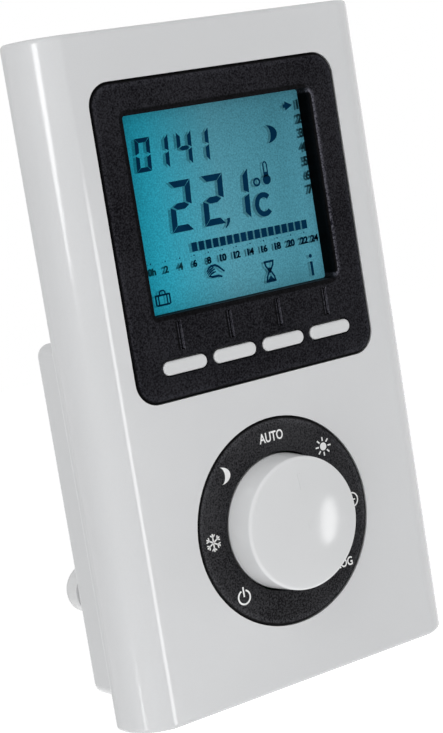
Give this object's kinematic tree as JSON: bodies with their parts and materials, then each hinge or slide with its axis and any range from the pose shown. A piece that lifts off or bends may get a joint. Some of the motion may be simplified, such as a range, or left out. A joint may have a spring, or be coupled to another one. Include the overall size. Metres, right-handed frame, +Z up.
{
  "type": "wall thermostat",
  "caption": "White programmable wall thermostat with a recessed segment display, pill keys, a domed selector knob in a black symbol ring, and a battery block that hooks onto a wall plate.",
  "frame": {"origin": "midpoint between the two wall screw holes, on the wall face of the wall plate", "axes": "+X to the right seen from the front, +Y back into the wall, +Z up; the display faces -Y"},
  "size_m": [0.0806, 0.0351, 0.1354],
  "materials": {
    "casing_white": "satin gloss moulding",
    "knob_white": "polished",
    "key_white": "satin",
    "frame_black": "fine spark texture",
    "lcd": "polarised, blue-green backlight",
    "light_guide": "clear moulding",
    "carrier_white": "moulded",
    "strip_rubber": "layered silicone",
    "led": "cast",
    "board_green": "solder mask",
    "switch_black": "moulded",
    "rotor_grey": "moulded",
    "spring_steel": "nickel plated",
    "contact_brass": "bare",
    "cell_jacket": "printed sleeve",
    "can_aluminium": "drawn can",
    "screw_steel": "zinc plated",
    "bead_epoxy": "dipped epoxy"
  },
  "bodies": {
    "wall_mount": {"wall_plate": "casing_white"},
    "unit": {"front_cover": "casing_white", "rear_shell": "casing_white", "display_bezel": "frame_black", "dial_ring": "frame_black", "lcd_glass": "lcd", "light_guide": "light_guide", "backlight_leds": "led", "zebra_strips": "strip_rubber", "lcd_frame": "carrier_white", "main_board": "board_green", "key_switches": "switch_black", "selector_housing": "switch_black", "detent_spring": "spring_steel", "battery_1": "cell_jacket", "battery_2": "cell_jacket", "battery_plates": "spring_steel", "battery_springs": "spring_steel", "control_chip": "switch_black", "crystal": "can_aluminium", "capacitor": "can_aluminium", "radio_board": "board_green", "radio_shield": "can_aluminium", "antenna": "contact_brass", "temperature_sensor": "bead_epoxy", "board_screws": "screw_steel", "case_screws": "screw_steel"},
    "selector": {"knob": "knob_white", "selector_rotor": "rotor_grey", "selector_wiper": "contact_brass"},
    "key_one": {"button_1": "key_white", "key_plunger_1": "switch_black"},
    "key_two": {"button_2": "key_white", "key_plunger_2": "switch_black"},
    "key_three": {"button_3": "key_white", "key_plunger_3": "switch_black"},
    "key_four": {"button_4": "key_white", "key_plunger_4": "switch_black"},
    "battery_door": {"battery_cover": "casing_white"}
  },
  "joints": [
    {"name": "unit_lift", "type": "slide", "parent": "wall_mount", "child": "unit", "axis": [0, 0, 1], "range_m": [0, 0.0043]},
    {"name": "selector_turn", "type": "hinge", "parent": "unit", "child": "selector", "pos_m": [0, -0.0272, 0.008], "axis": [0, 1, 0], "range_deg": [-135, 135]},
    {"name": "key_press_1", "type": "slide", "parent": "unit", "child": "key_one", "axis": [0, 1, 0], "range_m": [0, 0.0005], "stiffness_N_per_m": 2500, "springref_m": -0.0001},
    {"name": "key_press_2", "type": "slide", "parent": "unit", "child": "key_two", "axis": [0, 1, 0], "range_m": [0, 0.0005], "stiffness_N_per_m": 2500, "springref_m": -0.0001},
    {"name": "key_press_3", "type": "slide", "parent": "unit", "child": "key_three", "axis": [0, 1, 0], "range_m": [0, 0.0005], "stiffness_N_per_m": 2500, "springref_m": -0.0001},
    {"name": "key_press_4", "type": "slide", "parent": "unit", "child": "key_four", "axis": [0, 1, 0], "range_m": [0, 0.0005], "stiffness_N_per_m": 2500, "springref_m": -0.0001},
    {"name": "battery_door_slide", "type": "slide", "parent": "unit", "child": "battery_door", "axis": [0, 0, -1], "range_m": [0, 0.024]}
  ]
}
